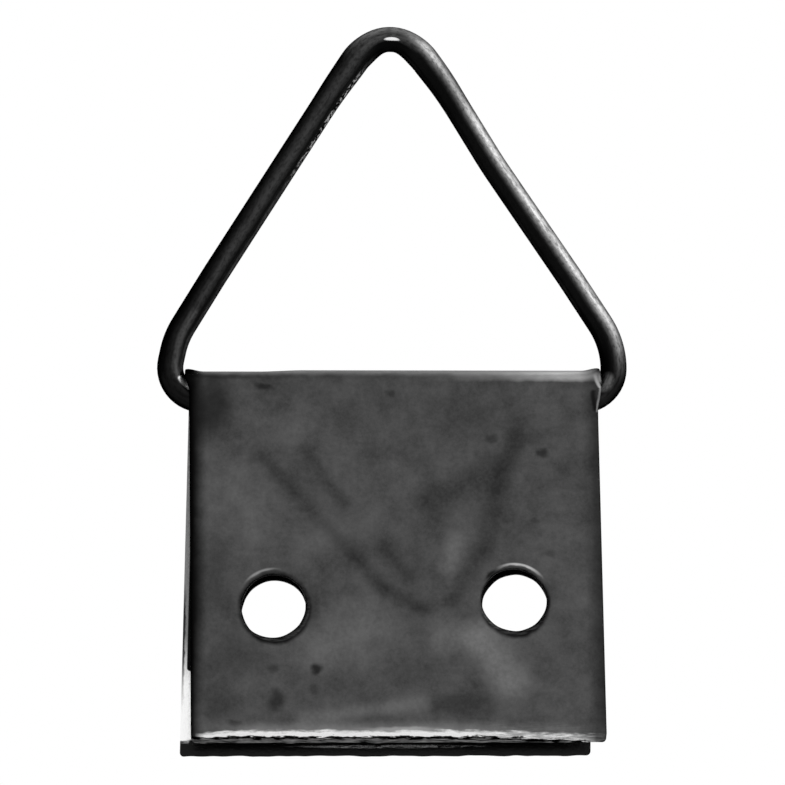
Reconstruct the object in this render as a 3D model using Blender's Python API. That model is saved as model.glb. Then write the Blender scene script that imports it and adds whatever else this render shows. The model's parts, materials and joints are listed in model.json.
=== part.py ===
"""Hinged picture hanger: a steel strip folded over the base of a bent wire triangle.

The origin lies on the rear face, midway between the two screw holes.
Z points up, the front leaf faces -Y, and the wire swings about the fold's axis along X.
"""

import math

import bmesh
import bpy

MM = 0.001

# The strip and its fold
PLATE_WIDTH = 20.0 * MM
SHEET = 0.5 * MM
BORE_RADIUS = 0.95 * MM
AXIS_HEIGHT = 10.34 * MM
FRONT_LENGTH = 16.8 * MM
BACK_LENGTH = 17.25 * MM
FRONT_OPENING = math.radians(1.0)
FRONT_SKEW = math.radians(0.55)
BACK_SKEW = math.radians(-1.18)
FOLD_STEPS = 20

# The strip's sheared edges, rolled over on the outer side, and the fold's flared ends
EDGE_ROLL_WIDTH = 0.35 * MM
EDGE_ROLL_DEPTH = 0.2 * MM
ROLL_STEPS = 4
END_SLANT = 0.2 * MM
FLARE_RISE = 0.16 * MM
FLARE_REACH = 1.2 * MM
FLARE_STEPS = 4

# The two screw holes, punched from the outer side of each leaf
HOLE_RADIUS = 1.6 * MM
HOLE_SPACING = 11.6 * MM
HOLE_ROW_TILT = math.radians(1.4)
HOLE_ROLL = 0.22 * MM
BACK_RIGHT_HOLE_SHIFT = 0.16 * MM
HOLE_SIDES = 40
CUTTER_OVERRUN = 0.3 * MM

# The wire triangle, measured on its centre line from the fold's axis
WIRE_RADIUS = 0.625 * MM
BASE_HALF_WIDTH = 10.95 * MM
LOWER_BEND = 1.6 * MM
UPPER_BEND = 4.2 * MM
APEX_BEND = 2.0 * MM
APEX_HALF_ANGLE = math.radians(32.35)
APEX_LEAN = math.radians(0.2)
END_GAP = 0.4 * MM
WIRE_RING_STEPS = 6
BEND_STEP = math.radians(7.5)

# Greys and roughnesses of the two metals
PLATE_GREY = 0.065
PLATE_ROUGHNESS = 0.4
WIRE_GREY = 0.04
WIRE_ROUGHNESS = 0.32

OUTER_RADIUS = BORE_RADIUS + SHEET
AXIS_DEPTH = -OUTER_RADIUS
FOLD_TURN = math.pi - FRONT_OPENING
SMOOTH_ANGLE = math.radians(35)


def clear_scene():
    """Remove every object of the open scene."""
    for item in list(bpy.data.objects):
        bpy.data.objects.remove(item, do_unlink=True)


def metal(name, grey, roughness):
    """Return a bare metal material of one grey."""
    material = bpy.data.materials.new(name)
    material.use_nodes = True
    shader = material.node_tree.nodes["Principled BSDF"]
    shader.inputs["Base Color"].default_value = (grey, grey, grey, 1.0)
    shader.inputs["Metallic"].default_value = 1.0
    shader.inputs["Roughness"].default_value = roughness
    return material


def add_mesh(name, rings):
    """Join rings of points into one closed body, capped at both ends."""
    body = bmesh.new()
    loops = []
    for ring in rings:
        loops.append([body.verts.new(point) for point in ring])
    for first, second in zip(loops, loops[1:]):
        for index in range(len(first)):
            after = (index + 1) % len(first)
            body.faces.new((first[index], first[after], second[after], second[index]))
    body.faces.new(loops[0])
    body.faces.new(loops[-1])
    bmesh.ops.recalc_face_normals(body, faces=body.faces)
    mesh = bpy.data.meshes.new(name)
    body.to_mesh(mesh)
    body.free()
    item = bpy.data.objects.new(name, mesh)
    bpy.context.scene.collection.objects.link(item)
    return item


def finish(item, material):
    """Give a piece its material and smooth shading between its sharp edges."""
    item.data.materials.append(material)
    if item.type == "MESH":
        item.data.shade_smooth()
        item.data.set_sharp_from_angle(angle=SMOOTH_ANGLE)
        item.modifiers.new("flat_leaves", "WEIGHTED_NORMAL").keep_sharp = True


def strip_point(turn, down, radius):
    """Return depth and height on the folded strip, at a radius from the fold's axis.

    The turn runs round the fold from 0 at the back leaf to FOLD_TURN at the front leaf.
    The distance down counts along the leaf from the fold's edge.
    """
    lean = FRONT_OPENING if turn == FOLD_TURN else 0.0
    depth = radius * math.cos(turn) - down * math.sin(lean)
    height = radius * math.sin(turn) - down * math.cos(lean)
    return AXIS_DEPTH + depth, AXIS_HEIGHT + height


def skew_shift(turn, down):
    """Return the sideways drift of the strip, which is not folded quite square."""
    share = 2 * turn / FOLD_TURN - 1
    skew = FRONT_SKEW if share > 0 else BACK_SKEW
    half_fold = (BORE_RADIUS + SHEET / 2) * FOLD_TURN / 2
    return math.tan(skew) * (half_fold * abs(share) + down)


def fold_flare(across, turn):
    """Return how far the fold's ends bulge at a place on the strip."""
    reach = max(0.0, abs(across) - (PLATE_WIDTH / 2 - FLARE_REACH)) / FLARE_REACH
    return FLARE_RISE * reach**2 * math.sin(math.pi * turn / FOLD_TURN) ** 2


def rolled_edge(width, depth):
    """List steps round a rolled edge: how far short of the edge, and how deep below the face."""
    steps = []
    for step in range(ROLL_STEPS + 1):
        angle = math.pi / 2 * step / ROLL_STEPS
        steps.append((width * (1 - math.sin(angle)), depth * (1 - math.cos(angle))))
    return steps


def fold_turns():
    """List the turns at which the fold is faceted, both of its edges included."""
    return [FOLD_TURN * step / FOLD_STEPS for step in range(FOLD_STEPS)] + [FOLD_TURN]


def outer_places():
    """List turn, distance down and roll depth along the outer side, from the back leaf's end."""
    edge = rolled_edge(EDGE_ROLL_WIDTH, EDGE_ROLL_DEPTH)
    back = [(0.0, BACK_LENGTH - short, depth) for short, depth in reversed(edge)]
    fold = [(turn, 0.0, 0.0) for turn in fold_turns()]
    front = [(FOLD_TURN, FRONT_LENGTH - short, depth) for short, depth in edge]
    return back + fold + front


def inner_places():
    """List turn and distance down along the inner side, from the front leaf's end.

    Both ends are sheared at a slant, so the inner side is the longer one.
    """
    fold = [(turn, 0.0) for turn in reversed(fold_turns())]
    return [(FOLD_TURN, FRONT_LENGTH + END_SLANT)] + fold + [(0.0, BACK_LENGTH + END_SLANT)]


def section(across, side_roll):
    """Return the folded strip's section at one place across its width."""
    ring = []
    for turn, down, end_roll in outer_places():
        radius = OUTER_RADIUS - max(end_roll, side_roll) + fold_flare(across, turn)
        ring.append((across + skew_shift(turn, down), *strip_point(turn, down, radius)))
    for turn, down in inner_places():
        radius = BORE_RADIUS + fold_flare(across, turn)
        ring.append((across + skew_shift(turn, down), *strip_point(turn, down, radius)))
    return ring


def half_stations():
    """List distances from the middle and side roll depths where the strip's section changes."""
    edge = PLATE_WIDTH / 2
    stations = []
    for step in range(FLARE_STEPS):
        stations.append((edge - FLARE_REACH + (FLARE_REACH - EDGE_ROLL_WIDTH) * step / FLARE_STEPS, 0.0))
    for short, depth in rolled_edge(EDGE_ROLL_WIDTH, EDGE_ROLL_DEPTH):
        stations.append((edge - short, depth))
    return stations


def hole_stops():
    """List radius from the fold's axis and hole size along one punch, from inside to outside."""
    stops = [(BORE_RADIUS - CUTTER_OVERRUN, HOLE_RADIUS)]
    for short, depth in rolled_edge(HOLE_ROLL, HOLE_ROLL):
        stops.append((OUTER_RADIUS - short, HOLE_RADIUS + depth))
    stops.append((OUTER_RADIUS + CUTTER_OVERRUN, HOLE_RADIUS + HOLE_ROLL))
    return stops


def hole_rings(side, turn):
    """Return the rings of one punch: straight through the leaf, flared at its outer face.

    The back leaf's right hole sits a little further out than the front one over it.
    """
    lean = FRONT_OPENING if turn == FOLD_TURN else 0.0
    centre = side * HOLE_SPACING / 2
    if turn == 0.0 and side > 0:
        centre += BACK_RIGHT_HOLE_SHIFT
    down = AXIS_HEIGHT - side * HOLE_SPACING / 2 * math.tan(HOLE_ROW_TILT)
    rings = []
    for radius, size in hole_stops():
        depth, height = strip_point(turn, down, radius)
        ring = []
        for step in range(HOLE_SIDES):
            angle = 2 * math.pi * step / HOLE_SIDES
            across = centre + size * math.cos(angle)
            lift = size * math.sin(angle)
            ring.append((across, depth + lift * math.sin(lean), height + lift * math.cos(lean)))
        rings.append(ring)
    return rings


def cut(item, cutter):
    """Take a hidden cutter's volume out of a piece."""
    cutter.hide_render = True
    cutter.display_type = "WIRE"
    modifier = item.modifiers.new(cutter.name, "BOOLEAN")
    modifier.operation = "DIFFERENCE"
    modifier.solver = "EXACT"
    modifier.object = cutter


def folded_plate():
    """Build the folded strip with its two pairs of punched holes."""
    right = half_stations()
    left = [(-across, roll) for across, roll in reversed(right)]
    plate = add_mesh("folded_plate", [section(across, roll) for across, roll in left + right])
    for side, side_name in ((-1, "left"), (1, "right")):
        for turn, leaf_name in ((FOLD_TURN, "front"), (0.0, "back")):
            cut(plate, add_mesh(f"punch_{leaf_name}_{side_name}", hole_rings(side, turn)))
    finish(plate, metal("dull_dark_steel", PLATE_GREY, PLATE_ROUGHNESS))
    return plate


def arc(centre, radius, start, turn):
    """List points on an arc, its two ends included."""
    steps = max(2, math.ceil(abs(turn) / BEND_STEP))
    points = []
    for step in range(steps + 1):
        angle = start + turn * step / steps
        points.append((centre[0] + radius * math.cos(angle), centre[1] + radius * math.sin(angle)))
    return points


def apex_height():
    """Return the height at which the apex bend meets both straight legs."""
    cosine = math.cos(APEX_HALF_ANGLE)
    sine = math.sin(APEX_HALF_ANGLE)
    leg_offset = (BASE_HALF_WIDTH - UPPER_BEND) * cosine + LOWER_BEND * sine + UPPER_BEND
    return APEX_BEND + (leg_offset - APEX_BEND) / sine


def half_path():
    """List the right half of the wire's centre line, from its cut end to the apex."""
    lower = arc((BASE_HALF_WIDTH - LOWER_BEND, LOWER_BEND), LOWER_BEND, -math.pi / 2, math.pi / 2)
    upper = arc((BASE_HALF_WIDTH - UPPER_BEND, LOWER_BEND), UPPER_BEND, 0.0, APEX_HALF_ANGLE)
    apex = arc((0.0, apex_height() - APEX_BEND), APEX_BEND, APEX_HALF_ANGLE, math.pi / 2 - APEX_HALF_ANGLE)
    return [(END_GAP / 2, 0.0)] + lower + upper[1:] + apex


def triangle_wire():
    """Build the bent wire, its two ends butting inside the fold."""
    right = half_path()
    left = [(-across, height) for across, height in reversed(right[:-1])]
    curve = bpy.data.curves.new("triangle_wire", "CURVE")
    curve.dimensions = "3D"
    curve.bevel_depth = WIRE_RADIUS
    curve.bevel_resolution = WIRE_RING_STEPS
    curve.use_fill_caps = True
    spline = curve.splines.new("POLY")
    spline.points.add(len(right) + len(left) - 1)
    for point, (across, height) in zip(spline.points, right + left):
        point.co = (across - height * math.tan(APEX_LEAN), 0.0, height, 1.0)
    wire = bpy.data.objects.new("triangle_wire", curve)
    wire.location = (0.0, AXIS_DEPTH, AXIS_HEIGHT)
    bpy.context.scene.collection.objects.link(wire)
    finish(wire, metal("blackened_wire", WIRE_GREY, WIRE_ROUGHNESS))
    return wire


clear_scene()
folded_plate()
triangle_wire()
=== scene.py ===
# %% [markdown]
# # A hinged picture hanger
#
# The hanger is a strip of dark sheet steel, folded double over the base of a bent wire triangle.
# Two screws go through both leaves into a picture frame, and the triangle hooks over a nail.
#
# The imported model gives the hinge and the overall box. This lesson makes the same two pieces again
# with finer edges: it punches and folds the strip, bends the wire, and gives both their metal.

import json
import math

import bmesh
import bpy
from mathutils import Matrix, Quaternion, Vector, noise


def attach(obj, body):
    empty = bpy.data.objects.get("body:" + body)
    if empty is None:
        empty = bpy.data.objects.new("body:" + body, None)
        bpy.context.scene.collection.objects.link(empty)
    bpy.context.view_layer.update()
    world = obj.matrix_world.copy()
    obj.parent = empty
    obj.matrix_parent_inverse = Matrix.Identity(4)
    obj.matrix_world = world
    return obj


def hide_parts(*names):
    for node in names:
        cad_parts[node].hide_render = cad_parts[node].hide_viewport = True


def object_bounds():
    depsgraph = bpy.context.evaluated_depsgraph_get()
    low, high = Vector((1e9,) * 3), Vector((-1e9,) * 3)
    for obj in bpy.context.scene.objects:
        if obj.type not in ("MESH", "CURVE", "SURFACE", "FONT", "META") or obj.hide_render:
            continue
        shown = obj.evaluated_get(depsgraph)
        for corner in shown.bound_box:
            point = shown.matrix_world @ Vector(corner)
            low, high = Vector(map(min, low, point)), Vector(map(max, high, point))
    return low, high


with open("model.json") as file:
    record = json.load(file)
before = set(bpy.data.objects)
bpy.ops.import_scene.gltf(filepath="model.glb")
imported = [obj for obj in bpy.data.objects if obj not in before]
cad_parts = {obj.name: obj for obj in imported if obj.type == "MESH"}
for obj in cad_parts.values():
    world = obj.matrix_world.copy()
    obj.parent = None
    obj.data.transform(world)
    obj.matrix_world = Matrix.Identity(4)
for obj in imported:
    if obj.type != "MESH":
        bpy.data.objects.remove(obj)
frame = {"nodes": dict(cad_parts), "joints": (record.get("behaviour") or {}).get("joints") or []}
cad_low, cad_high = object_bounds()
MM = 0.001
print("solids:", ", ".join(sorted(frame["nodes"])))
print("box in mm:", [round((high - low) / MM, 2) for low, high in zip(cad_low, cad_high)])

# %% [markdown]
# ## Two helpers
#
# Colours are written the way a picture editor shows them, as hex values of sRGB. Shaders work in
# linear light, so one function does the sum. A second function adds a node to any tree: it sets the
# node's own options, joins the inputs that are given as sockets, and fills in the plain values. A
# plain list fills the inputs in their order. For a Map Range node that is the value, the start and
# end of its range, and the start and end of the result, which are 0 and 1 where they are left out.

# %% Colour and node helpers
def linear(hex_colour):
    """Turn an sRGB hex value into linear red, green, blue and alpha."""
    channels = [int(hex_colour[start:start + 2], 16) / 255 for start in (1, 3, 5)]
    light = [c / 12.92 if c <= 0.04045 else ((c + 0.055) / 1.055) ** 2.4 for c in channels]
    return (*light, 1.0)


def add(tree, kind, values=(), output=None, stops=(), **options):
    """Add a node, set its options, link or fill its inputs, and return one of its outputs.

    Values are a list in the order of the inputs, or a dictionary by their names or numbers. The stops
    are the places and hex colours of a colour ramp.
    """
    node = tree.nodes.new(kind)
    for name, option in options.items():
        setattr(node, name, option)
    for socket, value in (values.items() if isinstance(values, dict) else enumerate(values)):
        if isinstance(value, bpy.types.NodeSocket):
            tree.links.new(value, node.inputs[socket])
        else:
            node.inputs[socket].default_value = value
    for index, (position, colour) in enumerate(stops):
        elements = node.color_ramp.elements
        element = elements[index] if index < len(elements) else elements.new(position)
        element.position = position
        element.color = linear(colour)
    if output is not None:
        return node.outputs[output]
    return next((socket for socket in node.outputs if socket.enabled), None)


print("steel grey #474747 in linear light:", round(linear("#474747")[0], 3))

# %% [markdown]
# ## The sizes behind both pieces
#
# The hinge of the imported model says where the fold's axis runs. The rest are the sizes of the strip,
# the same as the solid has. The strip is worked out flat, as a press tool maker would: lengths along
# it are measured on the middle of the sheet, which keeps its length when the strip is folded.

# %% Sizes of the strip
AXIS = Vector(frame["joints"][0]["pos_m"])
PLATE_WIDTH = 20.0 * MM
HALF_STRIP = PLATE_WIDTH / 2
SHEET = 0.5 * MM
MID_RADIUS = -AXIS.y - SHEET / 2
FRONT_LENGTH = 16.8 * MM
BACK_LENGTH = 17.25 * MM
FRONT_OPENING = math.radians(1.0)
FRONT_SKEW = math.radians(0.55)
BACK_SKEW = math.radians(-1.18)
FOLD_TURN = math.pi - FRONT_OPENING
HALF_FOLD = MID_RADIUS * FOLD_TURN / 2
FRONT_END = HALF_FOLD + FRONT_LENGTH
BACK_END = -HALF_FOLD - BACK_LENGTH
print("flat strip in mm:", round(PLATE_WIDTH / MM, 2), "x", round((FRONT_END - BACK_END) / MM, 2))

# %% [markdown]
# ## The camera
#
# The photograph looks at the front leaf a little from the left and from below: the holes show their
# upper walls, and the longer back leaf shows under the front one. The leaf is wider at the bottom,
# which puts the lens about 18 cm away.

# %% Camera
CAMERA_AZIMUTH = math.radians(-2.12)
CAMERA_ELEVATION = math.radians(-10.4)
CAMERA_ROLL = math.radians(-0.3)
CAMERA_DISTANCE = 181.4 * MM
CAMERA_TARGET = Vector((0.0, -1.43, 10.71)) * MM
FRAME_WIDTH = 38.69 * MM
CLIP_START = 10 * MM

towards = Vector((
    math.sin(CAMERA_AZIMUTH) * math.cos(CAMERA_ELEVATION),
    -math.cos(CAMERA_AZIMUTH) * math.cos(CAMERA_ELEVATION),
    math.sin(CAMERA_ELEVATION),
))
camera_data = bpy.data.cameras.new("camera")
camera_data.angle = 2 * math.atan(FRAME_WIDTH / 2 / CAMERA_DISTANCE)
camera_data.clip_start = CLIP_START
camera = bpy.data.objects.new("camera", camera_data)
camera.location = CAMERA_TARGET + towards * CAMERA_DISTANCE
upright = towards.to_track_quat("Z", "Y")
camera.rotation_euler = (upright @ Quaternion((0, 0, 1), CAMERA_ROLL)).to_euler()
bpy.context.scene.collection.objects.link(camera)
bpy.context.scene.camera = camera
print("camera in mm:", [round(value / MM, 1) for value in camera.location])

# %% [markdown]
# ## The flat strip
#
# The real strip is sheared from sheet. Shearing rolls the sheet's outer edge over and leaves a rough
# slanted break below it, with a slightly uneven line and blunted corners. A grid of rows and columns
# gives that edge on all four sides. The rows are closest where the strip will bend.

# %% Flat strip: rows and columns
ROLL_WIDTH = 0.35 * MM
ROLL_DEPTH = 0.2 * MM
ROLL_STEPS = 6
FOLD_ROWS = 48
LEAF_ROWS = 24
CROSS_COLUMNS = 120


def rolled_edge(width, depth):
    """List how far short of an edge, and how deep below the face, each step of its roll lies."""
    angles = [math.pi / 2 * step / ROLL_STEPS for step in range(ROLL_STEPS + 1)]
    return [(width * (1 - math.sin(angle)), depth * (1 - math.cos(angle))) for angle in angles]


def spread(first, last, count):
    """List evenly spaced places from first to last, the last left out."""
    return [first + (last - first) * step / count for step in range(count)]


def between_rolls(low, high, flat_places):
    """List the places of two rolled edges and the flat ones between, with the depth of the roll there."""
    edge = rolled_edge(ROLL_WIDTH, ROLL_DEPTH)
    places = [(low + short, depth) for short, depth in edge]
    places += [(high - short, depth) for short, depth in edge]
    return sorted(places + [(place, 0.0) for place in flat_places])


rows = between_rolls(BACK_END, FRONT_END, [
    *spread(BACK_END + ROLL_WIDTH, -HALF_FOLD, LEAF_ROWS)[1:],
    *spread(-HALF_FOLD, HALF_FOLD, FOLD_ROWS),
    *spread(HALF_FOLD, FRONT_END - ROLL_WIDTH, LEAF_ROWS),
])
columns = between_rolls(-HALF_STRIP, HALF_STRIP, [
    *spread(-HALF_STRIP + ROLL_WIDTH, HALF_STRIP - ROLL_WIDTH, CROSS_COLUMNS)[1:],
])
print("rows and columns of the strip:", len(rows), len(columns))

# %% Flat strip: mesh
END_SLANT = 0.2 * MM
CORNER_RADIUS = 0.22 * MM
CORNER_REACH = 1.2 * MM
RAGGED = 0.05 * MM
RAGGED_PITCH = 0.7 * MM


def uneven(across, along):
    """Return how far the sheared line wanders at the strip's two ends."""
    if BACK_END < along < FRONT_END:
        return 0.0
    return RAGGED * noise.noise((across / RAGGED_PITCH, along / MM, 0.0))


def blunted(across, along):
    """Draw the rows near an end back at the strip's corners, which the shears leave slightly round."""
    beyond = max(0.0, abs(across) - HALF_STRIP + CORNER_RADIUS)
    drop = CORNER_RADIUS - math.sqrt(CORNER_RADIUS ** 2 - min(beyond, CORNER_RADIUS) ** 2)
    near_front = min(1.0, max(0.0, (along - FRONT_END + CORNER_REACH) / (CORNER_REACH - ROLL_WIDTH)))
    near_back = min(1.0, max(0.0, (BACK_END + CORNER_REACH - along) / (CORNER_REACH - ROLL_WIDTH)))
    return along - drop * near_front + drop * near_back


def flat_strip():
    """Make the flat strip: X across, Y along, Z out of its outer face."""
    strip = bmesh.new()
    outer, inner = [], []
    for along, end_roll in rows:
        slant = END_SLANT if along == FRONT_END else -END_SLANT if along == BACK_END else 0.0
        outer_row, inner_row = [], []
        for across, side_roll in columns:
            place = blunted(across, along) + uneven(across, along)
            inner_place = blunted(across, along) + slant + uneven(across, along + slant)
            outer_row.append(strip.verts.new((across, place, SHEET / 2 - max(end_roll, side_roll))))
            inner_row.append(strip.verts.new((across, inner_place, -SHEET / 2)))
        outer.append(outer_row)
        inner.append(inner_row)
    for row in range(len(rows) - 1):
        for column in range(len(columns) - 1):
            for side in (outer, inner):
                strip.faces.new((side[row][column], side[row][column + 1],
                                 side[row + 1][column + 1], side[row + 1][column]))
    rims = [side[0] + [row[-1] for row in side[1:]] + side[-1][-2::-1] + [row[0] for row in side[-2:0:-1]]
            for side in (outer, inner)]
    for index in range(len(rims[0])):
        after = (index + 1) % len(rims[0])
        strip.faces.new((rims[0][index], rims[0][after], rims[1][after], rims[1][index]))
    bmesh.ops.recalc_face_normals(strip, faces=strip.faces)
    mesh = bpy.data.meshes.new("strip")
    strip.to_mesh(mesh)
    strip.free()
    return mesh


plate = bpy.data.objects.new("folded_plate_dressed", flat_strip())
bpy.context.scene.collection.objects.link(plate)
print("flat strip faces:", len(plate.data.polygons))

# %% [markdown]
# ## Punching the holes
#
# The holes are punched while the strip is flat. Each punch drags the sheet's outer face down with it,
# so the rim is rounded on the outside and sharp on the inside, and the front leaf's holes keep a burr
# on one side. A turned cutter with a flared mouth, flatter where the burr is, takes that shape out.
# The places are worked back from the folded hanger, where each hole of the front leaf lies over one
# of the back leaf. They don't quite meet: the back ones sit higher, and one also further right.

# %% Holes: cutter
HOLE_RADIUS = 1.6 * MM
HOLE_ROLL = 0.24 * MM
HOLE_SIDES = 96
BURRS = {-1: (0.18 * MM, math.radians(50), math.radians(88)),
         1: (0.15 * MM, math.radians(88), math.radians(95))}
HOLE_WOBBLE = 0.035 * MM
WOBBLE_SCALE = 2.0


def burr(side, angle):
    """Return how far the burr reaches into the left (-1) or right (1) hole at an angle round it."""
    height, middle, reach = BURRS[side]
    away = abs((angle - middle + math.pi) % (2 * math.pi) - math.pi)
    return height * math.cos(math.pi / 2 * min(1.0, away / reach))


def punch(across, along):
    """Make one cutter, flared at the strip's outer face. Only the front leaf's holes have a burr."""
    stops = [(-SHEET, HOLE_RADIUS)]
    stops += [(SHEET / 2 - short, HOLE_RADIUS + depth) for short, depth in rolled_edge(HOLE_ROLL, HOLE_ROLL)]
    stops.append((SHEET, HOLE_RADIUS + HOLE_ROLL))
    cutter = bmesh.new()
    side = 1 if across > 0 else -1
    angles = [2 * math.pi * step / HOLE_SIDES for step in range(HOLE_SIDES)]
    rings = []
    for out, size in stops:
        ring = []
        for angle in angles:
            reach = size - burr(side, angle) if along > 0 else size
            wave = (WOBBLE_SCALE * math.cos(angle), WOBBLE_SCALE * math.sin(angle), across / MM)
            reach += HOLE_WOBBLE * noise.noise(wave)
            place = (across + reach * math.cos(angle), along + reach * math.sin(angle), out)
            ring.append(cutter.verts.new(place))
        rings.append(ring)
    for lower, upper in zip(rings, rings[1:]):
        for step in range(HOLE_SIDES):
            after = (step + 1) % HOLE_SIDES
            cutter.faces.new((lower[step], lower[after], upper[after], upper[step]))
    cutter.faces.new(rings[0])
    cutter.faces.new(rings[-1])
    bmesh.ops.recalc_face_normals(cutter, faces=cutter.faces)
    mesh = bpy.data.meshes.new("punch")
    cutter.to_mesh(mesh)
    cutter.free()
    return bpy.data.objects.new("punch", mesh)


# %% Holes: places and cut
HOLE_SPACING = 11.6 * MM
HOLE_ROW_TILT = math.radians(1.4)
BACK_HOLE_RISE = 0.065 * MM
BACK_RIGHT_HOLE_SHIFT = 0.2 * MM


def hole_places():
    """List where the four holes lie on the flat strip."""
    places = []
    for side in (-1, 1):
        down = AXIS.z - side * HOLE_SPACING / 2 * math.tan(HOLE_ROW_TILT)
        for leaf, skew in ((1, FRONT_SKEW), (-1, BACK_SKEW)):
            along = HALF_FOLD + down - (BACK_HOLE_RISE if leaf < 0 else 0.0)
            shift = BACK_RIGHT_HOLE_SHIFT if (side, leaf) == (1, -1) else 0.0
            places.append((side * HOLE_SPACING / 2 + shift - math.tan(skew) * along, leaf * along))
    return places


punches = [punch(across, along) for across, along in hole_places()]
for cutter in punches:
    bpy.context.scene.collection.objects.link(cutter)
    cut = plate.modifiers.new("hole", "BOOLEAN")
    cut.operation = "DIFFERENCE"
    cut.solver = "EXACT"
    cut.object = cutter
punched = bpy.data.meshes.new_from_object(plate.evaluated_get(bpy.context.evaluated_depsgraph_get()))
plate.modifiers.clear()
plate.data = punched
for cutter in punches:
    bpy.data.objects.remove(cutter)
print("punched strip faces:", len(plate.data.polygons))

# %% [markdown]
# ## Folding the strip
#
# A fold is a rule: every place along the strip turns round the fold's axis until the leaf begins, and
# then runs straight. That suits Geometry Nodes. The tree keeps each point's flat place as an
# attribute, so that the metal's marks follow the sheet, and then moves the point to its folded place.
# The strip isn't folded quite square, so each leaf drifts a little sideways. At the fold's two ends the
# squeezed sheet bulges and spreads, and towards the left the fold lies a little lower.

# %% Fold tree: inputs
MATH, VECTOR, RANGE, MIX = "ShaderNodeMath", "ShaderNodeVectorMath", "ShaderNodeMapRange", "ShaderNodeMix"
COMBINE, SEPARATE, ROTATE = "ShaderNodeCombineXYZ", "ShaderNodeSeparateXYZ", "ShaderNodeVectorRotate"
SMOOTH = {"interpolation_type": "SMOOTHSTEP"}


def new_tree(name, inputs):
    """Start a geometry tree with named inputs. Returns the tree and its inputs' sockets."""
    tree = bpy.data.node_groups.new(name, "GeometryNodeTree")
    tree.interface.new_socket("Geometry", in_out="INPUT", socket_type="NodeSocketGeometry")
    for label in inputs:
        kind = "NodeSocketMaterial" if label == "Material" else "NodeSocketFloat"
        tree.interface.new_socket(label, in_out="INPUT", socket_type=kind)
    tree.interface.new_socket("Geometry", in_out="OUTPUT", socket_type="NodeSocketGeometry")
    return tree, tree.nodes.new("NodeGroupInput").outputs


fold, given = new_tree("fold the strip", (
    "Middle Radius", "Half Fold", "Fold Turn", "Opening", "Front Drift", "Back Drift",
    "Axis Depth", "Axis Height", "Half Width", "Flare Reach", "Flare Rise", "Inner Face", "Rolled Edge",
    "Ear Length", "Left Ear End", "Right Ear End", "Sink", "Sink Start", "Sink End", "Material"))
flat = add(fold, "GeometryNodeInputPosition")
kept = add(fold, "GeometryNodeStoreNamedAttribute",
           {"Geometry": given["Geometry"], "Name": "flat_place", "Value": flat},
           data_type="FLOAT_VECTOR")
across, along, out = add(fold, SEPARATE, [flat]).node.outputs
distance = add(fold, MATH, [along], operation="ABSOLUTE")
on_front = add(fold, MATH, [along, 0.0], operation="GREATER_THAN")
before = add(fold, MATH, [0.0, given["Half Fold"]], operation="SUBTRACT")

# %% Fold tree: turn, bulge and ears
# The turn runs from none at the back leaf to the whole fold at the front leaf.
turn = add(fold, RANGE, [along, before, given["Half Fold"], 0.0, given["Fold Turn"]])
crown = add(fold, RANGE, [along, before, given["Half Fold"], 0.0, math.pi])
rise = add(fold, MATH, [crown], operation="SINE")

# The fold's ends bulge outwards, most at its crown.
flat_part = add(fold, MATH, [given["Half Width"], given["Flare Reach"]], operation="SUBTRACT")
from_middle = add(fold, MATH, [across], operation="ABSOLUTE")
reach = add(fold, RANGE, [from_middle, flat_part, given["Half Width"]])
bulge = add(fold, MATH, [reach, rise], operation="MULTIPLY")
bulge = add(fold, MATH, [bulge, 2.0], operation="POWER")
radius = add(fold, MATH, [given["Middle Radius"], out], operation="ADD")
radius = add(fold, MATH, [bulge, given["Flare Rise"], radius], operation="MULTIPLY_ADD")

# Towards the left the fold is pressed a little lower.
sink = add(fold, RANGE, [across, given["Sink Start"], given["Sink End"], 0.0, given["Sink"]], **SMOOTH)
crowned = add(fold, MATH, [rise, 2.0], operation="POWER")
sink = add(fold, MATH, [sink, crowned], operation="MULTIPLY")
radius = add(fold, MATH, [radius, sink], operation="SUBTRACT")

# The squeezed metal also spreads sideways at the ends, as an ear. The ear runs out towards the sheet's
# inner side, which leaves room for the bend of the wire.
on_right = add(fold, MATH, [across, 0.0], operation="GREATER_THAN")
ear_end = add(fold, MIX, {"Factor": on_right, "A": given["Left Ear End"], "B": given["Right Ear End"]})
ear_full = add(fold, MATH, [ear_end, 0.5], operation="MULTIPLY")
ear = add(fold, RANGE, [distance, ear_end, ear_full], **SMOOTH)
slanted = add(fold, RANGE, [out, given["Inner Face"], given["Rolled Edge"]])
reach = add(fold, MATH, [reach, 2.0], operation="POWER")
outwards = add(fold, MATH, [across], operation="SIGN")
for part in (slanted, reach, outwards):
    ear = add(fold, MATH, [ear, part], operation="MULTIPLY")

# %% Fold tree: folded places
# A spoke turned about the axis carries the fold, and a step along the leaf carries the rest.
spoke = add(fold, COMBINE, {"Y": radius})
spoke = add(fold, ROTATE, {"Vector": spoke, "Angle": turn}, rotation_type="X_AXIS")
down = add(fold, MATH, [given["Half Fold"], distance], operation="SUBTRACT")
down = add(fold, MATH, [down, 0.0], operation="MINIMUM")
lean = add(fold, MATH, [on_front, given["Opening"]], operation="MULTIPLY")
step = add(fold, COMBINE, {"Z": down})
step = add(fold, ROTATE, {"Vector": step, "Angle": lean}, rotation_type="X_AXIS", invert=True)
slope = add(fold, MIX, {"Factor": on_front, "A": given["Back Drift"], "B": given["Front Drift"]})
sideways = add(fold, MATH, [distance, slope, across], operation="MULTIPLY_ADD")
sideways = add(fold, MATH, [ear, given["Ear Length"], sideways], operation="MULTIPLY_ADD")
start = add(fold, COMBINE, [sideways, given["Axis Depth"], given["Axis Height"]])
folded = add(fold, VECTOR, [spoke, step], operation="ADD")
folded = add(fold, VECTOR, [start, folded], operation="ADD")

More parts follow.
